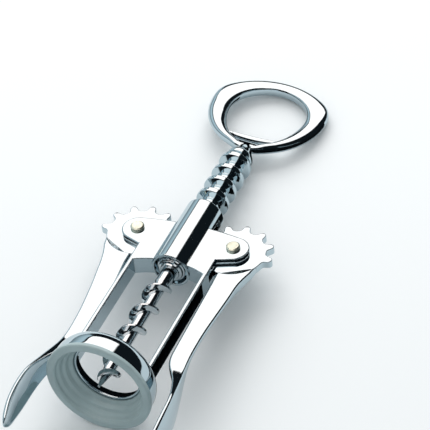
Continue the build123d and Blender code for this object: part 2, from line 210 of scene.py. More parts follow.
def object_noise(tree, scale, detail=3.0, stretch=(1.0, 1.0, 1.0)):
    """Noise fixed to the piece; the scale is in features for each metre."""
    coords = tree.nodes.new("ShaderNodeTexCoord")
    mapping = tree.nodes.new("ShaderNodeMapping")
    mapping.inputs["Scale"].default_value = stretch
    noise = tree.nodes.new("ShaderNodeTexNoise")
    noise.inputs["Scale"].default_value = scale
    noise.inputs["Detail"].default_value = detail
    tree.links.new(coords.outputs["Object"], mapping.inputs["Vector"])
    tree.links.new(mapping.outputs["Vector"], noise.inputs["Vector"])
    return noise.outputs["Fac"]


def round_edges(tree, radius):
    """Buffed edges: the rounded normal, and how much of an edge a spot is."""
    bevel = tree.nodes.new("ShaderNodeBevel")
    bevel.samples = 6
    bevel.inputs["Radius"].default_value = radius
    geometry = tree.nodes.new("ShaderNodeNewGeometry")
    agreement = tree.nodes.new("ShaderNodeVectorMath")
    agreement.operation = "DOT_PRODUCT"
    tree.links.new(bevel.outputs["Normal"], agreement.inputs[0])
    tree.links.new(geometry.outputs["Normal"], agreement.inputs[1])
    return bevel.outputs["Normal"], ramp(tree, agreement.outputs["Value"], *EDGE_SPAN)


def bumped(tree, height, distance, normal):
    """Normal of a surface raised by a height pattern, up to the given distance."""
    bump = tree.nodes.new("ShaderNodeBump")
    bump.inputs["Strength"].default_value = 1.0
    bump.inputs["Distance"].default_value = distance
    tree.links.new(height, bump.inputs["Height"])
    tree.links.new(normal, bump.inputs["Normal"])
    return bump.outputs["Normal"]


def new_material(name):
    """An empty material with its node tree and its shader."""
    material = bpy.data.materials.new(name)
    material.use_nodes = True
    tree = material.node_tree
    return material, tree, tree.nodes["Principled BSDF"]


# ----------------------------------------------------------------------
# Finishes
# ----------------------------------------------------------------------
# patterns of the surface, in features for each metre
RUB_PATCHES = 900.0
CLOUDS = 260.0
POLISHING_LINES = 1500.0
GRAIN = 2600.0
CASTING_WAVES = 140.0
WINDING_WAVES = 260.0
RIVETING_DENTS = 600.0
GRAIN_DEPTH = 0.0006 * MM
MOULD_CLOUDS = 120.0
MOULD_PATCHES = 700.0
MOULD_GRAIN = 3000.0
MOULD_GRAIN_DEPTH = 0.004 * MM
# the part of a noise's range over which a pattern sets in
CLOUD_SPAN = (0.3, 0.7)
RUB_SPAN = (0.42, 0.62)
LINE_SPAN = (0.45, 0.75)
# blur and tint of the patterns, as shares of the finish's own
CLEAR_BLUR = 0.6
CLOUD_BLUR = 1.5
LINE_BLUR = 0.8
RUBBED_BLUR = 3.0
MOULD_BLURS = (0.85, 1.2)
MOULD_TINTS = (0.94, 1.06)
# the liner's edges are painted paler: a painted highlight along its rims
EDGE_HIGHLIGHT_TINT = 1.12
PLASTIC_IOR = 1.46


def metal(name, finish, wave_scale, line_stretch, ripple_share=1.0, edge_share=1.0):
    """Buffed metal: soft waves, fine polishing lines, rubbed edges."""
    roughness = finish.roughness
    material, tree, shader = new_material(name)
    shader.inputs["Metallic"].default_value = 1.0
    normal, edge = round_edges(tree, finish.edge_round * edge_share)
    rub = ramp(tree, object_noise(tree, RUB_PATCHES, detail=4.0), *RUB_SPAN)
    rubbed = calculate(tree, "MULTIPLY", edge, rub)
    wire(tree, blend(tree, rubbed, finish.tint[:], finish.worn_tint[:]), shader.inputs["Base Color"])
    clouds = object_noise(tree, CLOUDS)
    cloud = ramp(tree, clouds, *CLOUD_SPAN, roughness * CLEAR_BLUR, roughness * CLOUD_BLUR)
    polish = object_noise(tree, POLISHING_LINES, 2.0, line_stretch)
    lines = ramp(tree, polish, *LINE_SPAN, 0.0, roughness * LINE_BLUR)
    wear = calculate(tree, "MULTIPLY", rubbed, roughness * RUBBED_BLUR)
    blur = calculate(tree, "ADD", calculate(tree, "ADD", cloud, lines), wear)
    wire(tree, blur, shader.inputs["Roughness"])
    waves = bumped(tree, object_noise(tree, wave_scale, detail=1.0), finish.ripple * ripple_share, normal)
    grain = bumped(tree, object_noise(tree, GRAIN, 2.0, line_stretch), GRAIN_DEPTH, waves)
    wire(tree, grain, shader.inputs["Normal"])
    return material


def chrome_plate(settings, name, ripple_share, edge_share, line_stretch=(1.0, 0.15, 1.0)):
    """Chromium over a buffed casting; the polishing lines run along Y unless told otherwise."""
    return metal(name, settings.chrome, CASTING_WAVES, line_stretch, ripple_share, edge_share)


def worm_steel(settings):
    """Plated steel rod, a little greyer than the castings."""
    return metal("worm_plated_steel", settings.steel, WINDING_WAVES, (1.0, 0.3, 1.0))


def pin_metal(settings):
    """Pale gold rivet metal, duller than the plate."""
    return metal("pin_pale_gold", settings.pin, RIVETING_DENTS, (1.0, 1.0, 1.0))


def liner_plastic(settings):
    """Satin grey-teal plastic, a little cloudy, with the faint grain of its mould."""
    liner = settings.liner
    material, tree, shader = new_material("liner_satin_plastic")
    normal, edge = round_edges(tree, liner.edge_round)
    tint = Vector(liner.tint)
    cloud = ramp(tree, object_noise(tree, MOULD_CLOUDS, detail=4.0), *CLOUD_SPAN)
    moulded = blend(tree, cloud, *[tint * share for share in MOULD_TINTS])
    # paler along the edges: a painted highlight on the rims
    wire(tree, blend(tree, edge, moulded, tint * EDGE_HIGHLIGHT_TINT), shader.inputs["Base Color"])
    patches = object_noise(tree, MOULD_PATCHES)
    blur = ramp(tree, patches, *CLOUD_SPAN, *[liner.roughness * share for share in MOULD_BLURS])
    wire(tree, blur, shader.inputs["Roughness"])
    shader.inputs["IOR"].default_value = PLASTIC_IOR
    grain = bumped(tree, object_noise(tree, MOULD_GRAIN, detail=2.0), MOULD_GRAIN_DEPTH, normal)
    wire(tree, grain, shader.inputs["Normal"])
    return material


def soften(mesh):
    """Shade all faces smoothly."""
    for polygon in mesh.polygons:
        polygon.use_smooth = True


def dress(node, material):
    """Give a solid of the frame its finish and soft shading."""
    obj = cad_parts[node]
    obj.data.materials.clear()
    obj.data.materials.append(material)
    soften(obj.data)


# ----------------------------------------------------------------------
# Worked meshes
# ----------------------------------------------------------------------
def new_object(name, data):
    """Put a mesh, a lamp or a camera into the scene."""
    obj = bpy.data.objects.new(name, data)
    bpy.context.scene.collection.objects.link(obj)
    return obj


def worked_mesh(bm, name, weld, material):
    """Weld a worked mesh, turn its faces outwards and give it its finish."""
    bmesh.ops.remove_doubles(bm, verts=bm.verts, dist=weld)
    bmesh.ops.recalc_face_normals(bm, faces=bm.faces)
    mesh = bpy.data.meshes.new(name)
    bm.to_mesh(mesh)
    bm.free()
    soften(mesh)
    mesh.materials.append(material)
    return mesh


def finish_piece(bm, name, body, material):
    """Turn a worked mesh into a smooth piece that rides on a body."""
    obj = new_object(name, worked_mesh(bm, name, 0.001 * MM, material))
    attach(obj, body)
    return obj


def skin_over(bm, rings, closed=False):
    """Faces from ring to ring, and from the last ring back to the first where it is closed."""
    pairs = list(zip(rings, rings[1:]))
    if closed:
        pairs.append((rings[-1], rings[0]))
    count = len(rings[0])
    for a, b in pairs:
        for k in range(count):
            bm.faces.new((a[k], a[(k + 1) % count], b[(k + 1) % count], b[k]))


def turned(bm, profile, segments, closed):
    """Turn a profile of (radius, height) in millimetres about the Y axis."""
    rings = []
    for radius, height in profile:
        ring = []
        for k in range(segments):
            a = math.tau * k / segments
            ring.append(bm.verts.new((radius * math.sin(a) * MM, height * MM, radius * math.cos(a) * MM)))
        rings.append(ring)
    skin_over(bm, rings, closed)


# ----------------------------------------------------------------------
# Lever: toothed disc, flat arm and cupped thumb paddle
# ----------------------------------------------------------------------
# outline of the arm and paddle, and height of its two faces, down the right
# lever: (distance along Y, X or Z), in millimetres from the pivot
ARM_OUTER = [
    (-4.4, 10.5),
    (-8.9, 9.9),
    (-12.1, 8.9),
    (-15.9, 8.1),
    (-22.9, 7.7),
    (-30.9, 7.1),
    (-38.9, 6.5),
    (-45.9, 6.3),
    (-52.4, 6.4),
    (-57.4, 6.9),
    (-62.4, 7.7),
    (-67.4, 8.6),
    (-72.4, 9.4),
    (-77.9, 10.1),
    (-83.9, 10.5),
    (-90.4, 10.5),
    (-96.4, 9.9),
    (-98.4, 9.35),
]
ARM_INNER = [
    (-4.4, -1.6),
    (-9.4, -1.4),
    (-19.9, -1.1),
    (-30.9, -0.9),
    (-41.9, -0.7),
    (-50.9, -0.5),
    (-55.2, -0.2),
    (-58.9, 1.0),
    (-61.9, 2.9),
    (-65.2, 4.8),
    (-68.9, 6.3),
    (-72.4, 7.5),
    (-76.9, 8.4),
    (-83.4, 8.8),
    (-90.4, 8.9),
    (-96.4, 8.4),
    (-98.4, 8.9),
]
FACE_FRONT = [
    (-4.4, 2.3),
    (-21.9, 2.3),
    (-33.9, 2.3),
    (-44.9, 2.3),
    (-53.9, 2.35),
    (-59.4, 2.8),
    (-63.9, 3.5),
    (-68.4, 4.5),
    (-72.4, 5.4),
    (-76.9, 6.0),
    (-81.9, 6.2),
    (-86.9, 5.9),
    (-91.9, 4.9),
    (-95.9, 3.2),
    (-98.1, 1.2),
    (-98.6, 0.4),
]
FACE_REAR = [
    (-4.4, -1.52),
    (-14.0, -1.52),
    (-17.5, -1.2),
    (-22.0, -0.45),
    (-26.0, 0.05),
    (-29.0, 0.2),
    (-33.9, 0.2),
    (-44.9, 0.2),
    (-51.9, 0.05),
    (-57.4, -0.6),
    (-61.4, -1.6),
    (-65.4, -2.7),
    (-69.4, -3.8),
    (-73.4, -5.0),
    (-77.4, -5.9),
    (-81.9, -6.2),
    (-86.9, -5.9),
    (-91.9, -4.9),
    (-95.9, -3.2),
    (-98.1, -1.2),
    (-98.6, -0.4),
]
# the arm's top bends round the disc, with a rounded step up to its front face;
# its sections take their thickness at two heights
STEP_ROUND = 0.8
STEP_SHARES = (0.0, 0.07, 0.25, 0.55, 1.0, 2.0)
STEP_HEIGHT = -10.0
BLEND_HEIGHT = -12.0
BLEND_SHARES = (0.35, 0.7)
BLEND_OVER_ROOT = 1.6
LEAST_DEPTH = 2.0
ARM_STRAIGHT_FROM = -17.0
# sections down the arm, closer together in the flare and at the tip
ARM_GAP = 2.0
FLARE_FROM = -50.0
FLARE_GAP = 1.3
TIP_FROM = -96.0
TIP_HEIGHTS = (-96.4, -97.2, -97.8, -98.15, -98.35)
# the paddle's hollow
PADDLE_START = -56.0
PADDLE_FULL = -74.0
FULL_HOLLOW_HALF_DEPTH = 4.0
OUTER_FACE_SHARE = 0.45


def along(table, y):
    """Smooth value at y in a table of (y, value) that runs downwards."""
    last = len(table) - 1
    y = min(max(y, table[-1][0]), table[0][0])
    i = 0
    while i < last - 1 and table[i + 1][0] > y:
        i += 1

    def slope(k):
        a, b = table[max(k - 1, 0)], table[min(k + 1, last)]
        return (b[1] - a[1]) / (b[0] - a[0])

    (y0, v0), (y1, v1) = table[i], table[i + 1]
    run = y1 - y0
    t = (y - y0) / run
    return (
        v0 * (2 * t**3 - 3 * t**2 + 1)
        + slope(i) * run * (t**3 - 2 * t**2 + t)
        + v1 * (-2 * t**3 + 3 * t**2)
        + slope(i + 1) * run * (t**3 - t**2)
    )


def section_ring(edge_round, half_x, half_z):
    """Rounded rectangle about the origin, as (x, z) points from the +X, +Z corner on."""
    radius = min(edge_round, 0.98 * min(half_x, half_z))
    corner_steps = 5
    side_steps = 6
    ring = []
    corners = [(1, 1), (-1, 1), (-1, -1), (1, -1)]
    for k, (sx, sz) in enumerate(corners):
        centre = (sx * (half_x - radius), sz * (half_z - radius))
        start = math.pi / 2 * k
        arc = [
            (
                centre[0] + radius * math.cos(start + math.pi / 2 * s / corner_steps),
                centre[1] + radius * math.sin(start + math.pi / 2 * s / corner_steps),
            )
            for s in range(corner_steps + 1)
        ]
        ring += arc
        nx, nz = corners[(k + 1) % 4]
        after = (nx * (half_x - radius), nz * (half_z - radius))
        turn = start + math.pi / 2
        end = (after[0] + radius * math.cos(turn), after[1] + radius * math.sin(turn))
        for s in range(1, side_steps):
            t = s / side_steps
            ring.append((arc[-1][0] * (1 - t) + end[0] * t, arc[-1][1] * (1 - t) + end[1] * t))
    return ring


def arm_heights():
    """Heights of the sections below the part that bends round the disc."""
    heights = []
    y = ARM_STRAIGHT_FROM
    while y > TIP_FROM:
        heights.append(y)
        y -= ARM_GAP if y > FLARE_FROM else FLARE_GAP
    return heights + list(TIP_HEIGHTS)


def arm_ring(bm, shape, height, front_drop=0.0, bend=None):
    """One section of the arm; a bend gives the height of each point from its X."""
    front = along(FACE_FRONT, height) - front_drop
    rear = along(FACE_REAR, height)
    inner = along(ARM_INNER, height)
    outer = along(ARM_OUTER, height)
    half_x, half_z = (outer - inner) / 2, (front - rear) / 2
    reach = min(max((PADDLE_START - height) / (PADDLE_START - PADDLE_FULL), 0.0), 1.0)
    hollow = shape.cup / MM * reach * reach * (3 - 2 * reach) * min(1.0, half_z / FULL_HOLLOW_HALF_DEPTH)
    ring = []
    for sx, sz in section_ring(shape.edge_round / MM, half_x, half_z):
        share = (sx + half_x) / (2 * half_x)
        x = inner + share * (outer - inner)
        y = height
        if bend:
            for _ in range(3):
                y = bend(x)
                x = along(ARM_INNER, y) + share * (along(ARM_OUTER, y) - along(ARM_INNER, y))
        lift = hollow * (1 - (sz / half_z) ** 2)
        ring.append(bm.verts.new((x + lift * (1.0 - OUTER_FACE_SHARE * share), y, (front + rear) / 2 + sz)))
    return ring


def lever_arm(shape, bm):
    """Arm and paddle as one skin of rounded sections."""
    root = shape.root_radius / MM
    rings = []

    def disc_edge(x, radius):
        return -math.sqrt(max(radius**2 - x * x, LEAST_DEPTH**2))

    for share in STEP_SHARES:
        inward = STEP_ROUND * max(1 - share, 0.0)
        drop = STEP_ROUND - math.sqrt(STEP_ROUND**2 - inward**2)
        radius = root + STEP_ROUND * share
        rings.append(arm_ring(bm, shape, STEP_HEIGHT, drop, lambda x, r=radius: disc_edge(x, r)))
    for share in BLEND_SHARES:

        def blended(x, t=share):
            return (1 - t) * disc_edge(x, root + BLEND_OVER_ROOT) + t * ARM_STRAIGHT_FROM

        rings.append(arm_ring(bm, shape, BLEND_HEIGHT, bend=blended))
    for height in arm_heights():
        rings.append(arm_ring(bm, shape, height))
    skin_over(bm, rings)
    bm.faces.new(rings[0][::-1])
    bm.faces.new(rings[-1])


LAST_TOOTH = math.radians(211.05)
RIM_ROUND = 0.35
PIN_HOLE_RADIUS = 1.95


def disc_outline(shape):
    """Toothed rim of the disc, in millimetres about the pivot."""
    root, tip = shape.root_radius / MM, shape.tip_radius / MM
    tooth_round = 1.3
    flank_lean = math.radians(11.5)
    foot = (root * 0.985, 2.27)
    flank = (root + 0.35, 1.7)
    points = []
    for index in range(shape.teeth):
        turn = LAST_TOOTH - shape.tooth_step * (shape.teeth - 1 - index)
        tooth = [(foot[0], -foot[1]), (flank[0], -flank[1])]
        for k in range(9):
            around = -math.pi / 2 + flank_lean + (math.pi - 2 * flank_lean) * k / 8
            centre = tip - tooth_round
            tooth.append((centre + tooth_round * math.cos(around), tooth_round * math.sin(around)))
        tooth += [flank, foot]
        for u, v in tooth:
            points.append((u * math.cos(turn) - v * math.sin(turn), u * math.sin(turn) + v * math.cos(turn)))
    first = math.atan2(points[0][1], points[0][0]) % (2 * math.pi)
    last = math.atan2(points[-1][1], points[-1][0]) % (2 * math.pi)
    gap = (first - last) % (2 * math.pi)
    steps = 28
    for k in range(1, steps):
        a = last + gap * k / steps
        points.append((root * math.cos(a), root * math.sin(a)))
    return points


def toothed_disc(shape):
    """Flat curve with a hole, thickened and rounded, turned into a mesh."""
    curve = bpy.data.curves.new("disc_outline", "CURVE")
    curve.dimensions = "2D"
    curve.fill_mode = "BOTH"
    rim = RIM_ROUND * MM
    curve.extrude = shape.thickness / 2 - rim
    curve.bevel_depth = rim
    curve.bevel_resolution = 2
    curve.offset = -rim
    hole_turns = [math.tau * k / 32 for k in range(32)]
    hole = [(PIN_HOLE_RADIUS * math.cos(a), PIN_HOLE_RADIUS * math.sin(a)) for a in hole_turns]
    for loop in (disc_outline(shape), hole):
        spline = curve.splines.new("POLY")
        spline.points.add(len(loop) - 1)
        for point, (x, y) in zip(spline.points, loop):
            point.co = (x * MM, y * MM, 0.0, 1.0)
        spline.use_cyclic_u = True
    holder = new_object("disc_outline", curve)
    bpy.context.view_layer.update()
    mesh = bpy.data.meshes.new_from_object(holder.evaluated_get(bpy.context.evaluated_depsgraph_get()))
    bpy.data.objects.remove(holder)
    return mesh


# the turned-over lever is set on, so that its teeth meet the rings; its arm leans a little more
LEFT_DISC_TURN = math.radians(2.1)
LEFT_ARM_TURN = math.radians(3.0)


def make_lever(settings, name, body, node, material, to_disc, to_arm):
    """One lever, its disc and arm each set in place about the pivot."""
    shape = settings.lever
    bm = bmesh.new()
    lever_arm(shape, bm)
    bmesh.ops.transform(bm, matrix=to_arm @ Matrix.Scale(MM, 4), verts=bm.verts)
    disc = toothed_disc(shape)
    disc.transform(to_disc)
    bm.from_mesh(disc)
    obj = new_object(name, worked_mesh(bm, name, 0.002 * MM, material))
    bpy.data.meshes.remove(disc)
    weighted = obj.modifiers.new("even_shading", "WEIGHTED_NORMAL")
    weighted.keep_sharp = False
    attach(obj, body)
    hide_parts(node)


# ----------------------------------------------------------------------
# Opener head: ring of rounded section, sloping lip and waisted neck
# ----------------------------------------------------------------------
def arc_chain(start, arcs):
    """Tangent arcs that set off along +X and keep turning clockwise."""
    x, y = start
    heading = 0.0
    points = [(x, y)]
    for radius, sweep in arcs:
        centre = (x + radius * math.sin(heading), y - radius * math.cos(heading))
        steps = max(int(sweep / 3), 3)
        for k in range(1, steps + 1):
            now = heading - math.radians(sweep) * k / steps
            points.append((centre[0] - radius * math.sin(now), centre[1] + radius * math.cos(now)))
        heading -= math.radians(sweep)
        x, y = points[-1]
    return points, heading


def evenly(points, count):
    """The same line as a given number of evenly spaced points."""
    lengths = [0.0]
    for a, b in zip(points, points[1:]):
        lengths.append(lengths[-1] + math.dist(a, b))
    even, i = [], 0
    for k in range(count):
        goal = lengths[-1] * k / (count - 1)
        while i < len(points) - 2 and lengths[i + 1] < goal:
            i += 1
        t = (goal - lengths[i]) / (lengths[i + 1] - lengths[i])
        a, b = points[i], points[i + 1]
        even.append((a[0] * (1 - t) + b[0] * t, a[1] * (1 - t) + b[1] * t))
    return even


# lines of the right half, as (radius, sweep in degrees) from the crown down
OUTER_ARCS = [(31.3, 37.6), (9.6, 46.5), (23.4, 70.0)]
OPENING_ARCS = [(18.4, 42.2), (11.4, 53.1), (22.65, 40.9)]
OPENING_SOLE_SWEEP = 43.8
OPENING_NARROWING = 0.95
LEFT_NARROWING = 0.96
RING_BAND = 4.6
# underside of the ring over the neck: where it starts, and (X, drop below the start)
FOOT_X = 6.4
FOOT_DROPS = [(4.6, 0.75), (2.4, 1.15), (0.0, 1.25)]
# the section is squarer towards the crown
CROWN_SQUARING = 1.8
CROWN_FROM = 150.0
CROWN_RISE = 12.0
# the front is thinner over the neck, most of all at the opening
THIN_BELOW = 140.0
THIN_HALF_WIDTH = 7.0
THIN_OUTSIDE = 0.15
THIN_TO_OPENING = 0.35
# section of the claw lip, from its root to its edge and back: (share of its height, Z)
LIP_SECTION = [
    (0.0, 1.5),
    (0.15, 1.3),
    (0.45, 0.35),
    (0.7, -0.35),
    (0.84, -0.45),
    (0.93, -0.2),
    (0.98, -0.35),
    (1.0, -0.8),
    (0.97, -1.25),
    (0.9, -1.45),
    (0.5, -1.5),
    (0.0, -1.6),
]
LIP_ROOT = 1.5
LIP_FULL_HEIGHT = 6.0
NECK_PROFILE = [
    (3.6, 0.0),
    (4.6, 0.0),
    (4.9, 0.12),
    (5.0, 0.4),
    (5.0, 1.5),
    (4.85, 2.0),
    (4.5, 2.6),
    (4.05, 3.4),
    (3.55, 4.3),
    (3.1, 5.4),
    (2.75, 6.4),
    (2.35, 7.3),
    (1.8, 8.1),
    (1.05, 8.75),
    (0.05, 9.05),
]


def head_lines(top_y):
    """Outer line and opening line of the right half, from the crown to the neck."""
    outer, heading = arc_chain((0.0, top_y), OUTER_ARCS)
    foot_y = outer[-1][1] + (FOOT_X - outer[-1][0]) * math.tan(heading)
    outer += [(FOOT_X, foot_y)] + [(x, foot_y - drop) for x, drop in FOOT_DROPS]
    start = (0.0, top_y - RING_BAND)
    opening, _ = arc_chain(start, OPENING_ARCS)
    sole = opening[-1][0] / math.sin(math.radians(OPENING_SOLE_SWEEP))
    opening, _ = arc_chain(start, [*OPENING_ARCS, (sole, OPENING_SOLE_SWEEP)])
    return outer, [(x * OPENING_NARROWING, y) for x, y in opening]


def head_ring(bm, shape, outer, opening):
    """Closed band between the two lines, of rounded section."""
    half_count = 76
    right = list(zip(evenly(outer, half_count), evenly(opening, half_count)))
    left = [((-a[0], a[1]), (-b[0] * LEFT_NARROWING, b[1])) for a, b in right[-2:0:-1]]
    half_depth = shape.depth / MM / 2
    around = 28
    rings = []
    for a, b in right + left:
        middle = ((a[0] + b[0]) / 2, (a[1] + b[1]) / 2)
        thin = max(1 - abs(middle[0]) / THIN_HALF_WIDTH, 0.0) if middle[1] < THIN_BELOW else 0.0
        thin = thin * thin * (3 - 2 * thin)
        crown = min(max((middle[1] - CROWN_FROM) / CROWN_RISE, 0.0), 1.0)
        power = 2 / (shape.section_power + CROWN_SQUARING * crown)
        ring = []
        for k in range(around):
            t = math.tau * k / around
            c, s = math.cos(t), math.sin(t)
            across = math.copysign(abs(c) ** power, c)
            z = math.copysign(abs(s) ** power, s) * half_depth
            x = middle[0] + (a[0] - b[0]) / 2 * across
            y = middle[1] + (a[1] - b[1]) / 2 * across
            if z > 0:
                z *= 1 - thin * (THIN_OUTSIDE + THIN_TO_OPENING * (1 - across))
            ring.append(bm.verts.new((x * MM, y * MM, z * MM)))
        rings.append(ring)
    skin_over(bm, rings, closed=True)


def head_lip(bm, opening, lip_top):
    """Claw lip across the foot of the opening, sloping back to a raised edge."""
    foot = [p for p in opening if p[1] < lip_top]
    foot = sorted([(-x, y) for x, y in foot if x > 0.01] + foot)
    columns = []
    for x, y in foot:
        start = y - LIP_ROOT
        rise = lip_top - start
        share = min(rise / LIP_FULL_HEIGHT, 1.0)
        column = [(x, start + rise * t, z * share) for t, z in LIP_SECTION]
        columns.append([bm.verts.new((x * MM, y * MM, z * MM)) for x, y, z in column])
    skin_over(bm, columns)
    bm.faces.new(columns[0])
    bm.faces.new(columns[-1][::-1])


# ----------------------------------------------------------------------
# Bell: swelling outer skin and flared throat
# ----------------------------------------------------------------------
BELL_SEGMENTS = 120
BELL_PROFILE = [
    (17.6, 1.62),
    (18.2, 1.62),
    (18.4, 1.75),
    (18.47, 2.1),
    (18.5, 3.0),
    (18.5, 4.2),
    (18.48, 5.0),
    (18.39, 6.0),
    (18.22, 6.8),
    (17.97, 7.6),
    (17.62, 8.4),
    (17.15, 9.15),
    (16.5, 9.85),
    (15.7, 10.4),
    (14.8, 10.75),
    (13.6, 10.93),
    (12.6, 10.96),
    (12.12, 10.9),
]
THROAT_PROFILE = [
    (12.6, 7.72),
    (11.85, 7.72),
    (11.62, 7.8),
    (11.52, 8.0),
    (11.56, 8.4),
    (11.66, 9.0),
    (11.8, 9.7),
    (11.96, 10.4),
    (12.06, 10.8),
    (12.2, 10.92),
    (12.6, 10.85),
]


# ----------------------------------------------------------------------
# Operators
# ----------------------------------------------------------------------
class CORKSCREW_OT_opener_head(bpy.types.Operator):
    """Build the turning handle: opener ring, claw lip and neck"""

    bl_idname = "corkscrew.opener_head"
    bl_label = "Opener head"

    def execute(self, context):
        settings = context.scene.corkscrew
        material = chrome_plate(settings, "chrome_head", 1.6, 0.8)
        low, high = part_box("opener_head")
        outer, opening = head_lines(high.y / MM)
        bm = bmesh.new()
        head_ring(bm, settings.head, outer, opening)
        head_lip(bm, opening, opening[-1][1] + settings.head.lip_height / MM)
        turn = Matrix.Rotation(settings.head.turn, 4, "Y")
        bmesh.ops.transform(bm, matrix=turn, verts=bm.verts)
        neck = [(radius, low.y / MM + up) for radius, up in NECK_PROFILE]
        turned(bm, neck, 64, closed=False)
        head = finish_piece(bm, "opener_ring", "spindle", material)
        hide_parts("opener_head")
        return {"FINISHED"}


class CORKSCREW_OT_rack_sleeve(bpy.types.Operator):
    """Chrome the ring rack that lifts the worm"""

    bl_idname = "corkscrew.rack_sleeve"
    bl_label = "Ring rack"

    def execute(self, context):
        material = chrome_plate(context.scene.corkscrew, "chrome_rings", 1.6, 0.8, (0.2, 1.0, 0.2))
        dress("rack_sleeve", material)
        return {"FINISHED"}


class CORKSCREW_OT_frame_casting(bpy.types.Operator):
    """Chrome the frame casting: bell, legs, cross-piece, ears and barrel"""

    bl_idname = "corkscrew.frame_casting"
    bl_label = "Frame casting"

    def execute(self, context):
        material = chrome_plate(context.scene.corkscrew, "chrome_frame", 1.0, 1.3)
        dress("frame_casting", material)
        skin = bmesh.new()
        turned(skin, BELL_PROFILE, BELL_SEGMENTS, closed=False)
        finish_piece(skin, "bell_skin", "frame", material)
        throat = bmesh.new()
        turned(throat, THROAT_PROFILE, BELL_SEGMENTS, closed=True)
        finish_piece(throat, "bell_throat", "frame", material)
        return {"FINISHED"}


class CORKSCREW_OT_bell_liner(bpy.types.Operator):
    """Give the liner of the bell its satin plastic"""

    bl_idname = "corkscrew.bell_liner"
    bl_label = "Bell liner"

    def execute(self, context):
        dress("bell_liner", liner_plastic(context.scene.corkscrew))
        return {"FINISHED"}


class CORKSCREW_OT_pins(bpy.types.Operator):
    """Give the two rivet pins their warm metal"""

    bl_idname = "corkscrew.pins"
    bl_label = "Rivet pins"

    def execute(self, context):
        material = pin_metal(context.scene.corkscrew)
        for node in ("pin_left", "pin_right"):
            dress(node, material)
        return {"FINISHED"}


class CORKSCREW_OT_worm(bpy.types.Operator):
    """Finish the worm and its retaining collar"""

    bl_idname = "corkscrew.worm"
    bl_label = "Worm and collar"

    def execute(self, context):
        material = worm_steel(context.scene.corkscrew)
        for node in ("worm", "retaining_collar"):
            dress(node, material)
        return {"FINISHED"}


class CORKSCREW_OT_levers(bpy.types.Operator):
    """Build the two toothed levers; the left one is the same piece turned over"""

    bl_idname = "corkscrew.levers"
    bl_label = "Levers"

    def execute(self, context):
        settings = context.scene.corkscrew
        material = chrome_plate(settings, "chrome_levers", 0.8, 0.6)
        right = Matrix.Translation((PIVOT_X, PIVOT_Y, 0.0))
        make_lever(settings, "right_lever", "lever_right", "lever_right", material, right, right)
        left = Matrix.Translation((-PIVOT_X, PIVOT_Y, 0.0))
        turned_over = Matrix.Rotation(math.pi, 4, "Y")
        disc_turn = Matrix.Rotation(LEFT_DISC_TURN, 4, "Z")
        arm_turn = Matrix.Rotation(LEFT_ARM_TURN, 4, "Z")
        make_lever(
            settings,
            "left_lever",
            "lever_left",
            "lever_left",
            material,
            left @ disc_turn @ turned_over,
            left @ arm_turn @ turned_over,
        )
        return {"FINISHED"}


# ----------------------------------------------------------------------
# Stage
# ----------------------------------------------------------------------
DARK = (0.010, 0.013, 0.016)
SOFTBOX = (2.4, 2.05, 1.92)
# the softbox and its dark rim lie overhead: spans along X and Y, for each unit of height
SOFTBOX_X = (-1.05, 0.30)
SOFTBOX_Y = (-1.0, 1.6)
SOFTBOX_SOFT = 0.04
RIM_X = (-1.30, 3.2)
RIM_Y = (-2.6, 2.2)
RIM_SOFT = 0.05
NEAR_HORIZON = 0.02
# the wall grows paler between two heights, in degrees, from a share of the horizon's colour
WALL_RISE = (2.0, 26.0)
WALL_FOOT = 0.38
WALL_TOP = 0.9
WALL_WHITE = 0.1
# dark cards far off: compass direction, half angle, lowest and highest, in degrees
FAR_CARDS = [
    (10.0, 44.0, -4.0, 33.0),
    (72.0, 30.0, -16.0, 36.0),
    (180.0, 42.0, -6.0, 38.0),
]
FLOOR_HALF = 3.0
FLOOR_HEIGHT = -0.0191
LAMP_SIZE = (1.45, 1.0)
LAMP_AIM = Vector((0, 0.07, 0))
LAMP_DIRECTION = Vector((-0.30, 0.70, 0.68)).normalized()
LAMP_DISTANCE = 1.3
CAMERA_RIGHT = Vector((0.918022, 0.386388, -0.089113))
CAMERA_UP = Vector((-0.192589, 0.630908, 0.751574))
CAMERA_BACK = Vector((0.346621, -0.672800, 0.653601))
CAMERA_PLACE = (0.27626, -0.43744, 0.51419)


def between(tree, value, low, high, soft):
    """1 between two values, with soft ends."""
    rise = ramp(tree, value, low - soft, low + soft, smooth=True)
    fall = ramp(tree, value, high - soft, high + soft, 1.0, 0.0, smooth=True)
    return calculate(tree, "MULTIPLY", rise, fall)


def sky_patch(tree, level, height, toward, half_angle, low, high, soft=3.0):
    """A patch of the room: compass direction from +Y towards +X, and height range, in degrees."""
    compass = math.radians(toward)
    aim = tree.nodes.new("ShaderNodeVectorMath")
    aim.operation = "DOT_PRODUCT"
    tree.links.new(level, aim.inputs[0])
    aim.inputs[1].default_value = (math.sin(compass), math.cos(compass), 0.0)
    wide = math.cos(math.radians(half_angle + soft))
    narrow = math.cos(math.radians(half_angle - soft))
    across = ramp(tree, aim.outputs["Value"], wide, narrow, smooth=True)
    return calculate(tree, "MULTIPLY", across, between(tree, height, low, high, soft))


def overhead(tree, x, y, span_x, span_y, soft):
    """A rectangle overhead, with soft ends."""
    return calculate(tree, "MULTIPLY", between(tree, x, *span_x, soft), between(tree, y, *span_y, soft))


